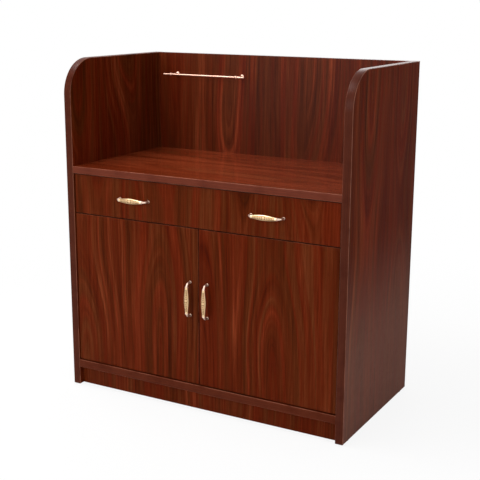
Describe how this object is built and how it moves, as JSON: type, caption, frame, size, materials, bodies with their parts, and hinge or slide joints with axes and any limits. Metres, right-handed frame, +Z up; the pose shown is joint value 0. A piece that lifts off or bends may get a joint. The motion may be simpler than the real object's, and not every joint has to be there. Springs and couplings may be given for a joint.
{
  "type": "bar counter",
  "caption": "Free-standing home bar counter: rounded side panels, open worktop with backboard and stemware rail, a wide drawer and hinged cupboard doors with bow handles.",
  "frame": {"origin": "middle of the floor area covered by the whole counter, handles included, at floor level", "axes": "+X along the front to the right as seen from the front, +Y to the back, +Z up; doors and drawer face -Y"},
  "size_m": [1, 0.5534, 1.1],
  "materials": {
    "laminate": "semi-gloss dark red-brown wood-grain laminate with straight grain",
    "drawer_board": "satin laminated board",
    "handle_brass": "pale antique brass, polished high spots",
    "rail_copper": "bright copper-toned plating",
    "hardware_steel": "nickel-plated or zinc-plated steel",
    "glide_plastic": "matt black moulded plastic"
  },
  "bodies": {
    "carcass": {"left_side_panel": "laminate", "right_side_panel": "laminate", "back_panel": "laminate", "worktop": "laminate", "bottom_board": "laminate", "toe_kick": "laminate", "drawer_rail": "laminate", "shelf": "laminate", "stemware_rail": "rail_copper", "rail_standoff_left": "rail_copper", "rail_standoff_right": "rail_copper", "glide_left_front": "glide_plastic", "glide_left_rear": "glide_plastic", "glide_right_front": "glide_plastic", "glide_right_rear": "glide_plastic", "shelf_pin_left_front": "hardware_steel", "shelf_pin_left_rear": "hardware_steel", "shelf_pin_right_front": "hardware_steel", "shelf_pin_right_rear": "hardware_steel", "slide_cabinet_left": "hardware_steel", "slide_cabinet_right": "hardware_steel", "hinge_plate_left_upper": "hardware_steel", "hinge_arm_left_upper": "hardware_steel", "hinge_plate_left_lower": "hardware_steel", "hinge_arm_left_lower": "hardware_steel", "hinge_plate_right_upper": "hardware_steel", "hinge_arm_right_upper": "hardware_steel", "hinge_plate_right_lower": "hardware_steel", "hinge_arm_right_lower": "hardware_steel"},
    "drawer": {"drawer_front": "laminate", "drawer_side_left": "drawer_board", "drawer_side_right": "drawer_board", "drawer_back": "drawer_board", "drawer_bottom": "drawer_board", "slide_drawer_left": "hardware_steel", "slide_drawer_right": "hardware_steel", "drawer_handle_left": "handle_brass", "drawer_handle_right": "handle_brass", "drawer_handle_left_screw_left": "hardware_steel", "drawer_handle_left_screw_right": "hardware_steel", "drawer_handle_right_screw_left": "hardware_steel", "drawer_handle_right_screw_right": "hardware_steel"},
    "left_slide_middle": {"slide_middle_left": "hardware_steel"},
    "right_slide_middle": {"slide_middle_right": "hardware_steel"},
    "left_door": {"left_door": "laminate", "left_door_handle": "handle_brass", "left_door_handle_screw_upper": "hardware_steel", "left_door_handle_screw_lower": "hardware_steel", "hinge_cup_left_upper": "hardware_steel", "hinge_cup_left_lower": "hardware_steel"},
    "right_door": {"right_door": "laminate", "right_door_handle": "handle_brass", "right_door_handle_screw_upper": "hardware_steel", "right_door_handle_screw_lower": "hardware_steel", "hinge_cup_right_upper": "hardware_steel", "hinge_cup_right_lower": "hardware_steel"}
  },
  "joints": [
    {"name": "drawer_slide", "type": "slide", "parent": "carcass", "child": "drawer", "axis": [0, -1, 0], "range_m": [0, 0.38]},
    {"name": "left_slide_middle_travel", "type": "slide", "parent": "carcass", "child": "left_slide_middle", "axis": [0, -1, 0], "range_m": [0, 0.19]},
    {"name": "right_slide_middle_travel", "type": "slide", "parent": "carcass", "child": "right_slide_middle", "axis": [0, -1, 0], "range_m": [0, 0.19]},
    {"name": "left_door_hinge", "type": "hinge", "parent": "carcass", "child": "left_door", "pos_m": [-0.454, -0.2398, 0.095], "axis": [0, 0, -1], "range_deg": [0, 100]},
    {"name": "right_door_hinge", "type": "hinge", "parent": "carcass", "child": "right_door", "pos_m": [0.454, -0.2398, 0.095], "axis": [0, 0, 1], "range_deg": [0, 100]}
  ],
  "couplings": [
    {"joint": "left_slide_middle_travel", "follows": "drawer_slide", "ratio": 0.5},
    {"joint": "right_slide_middle_travel", "follows": "drawer_slide", "ratio": 0.5}
  ]
}
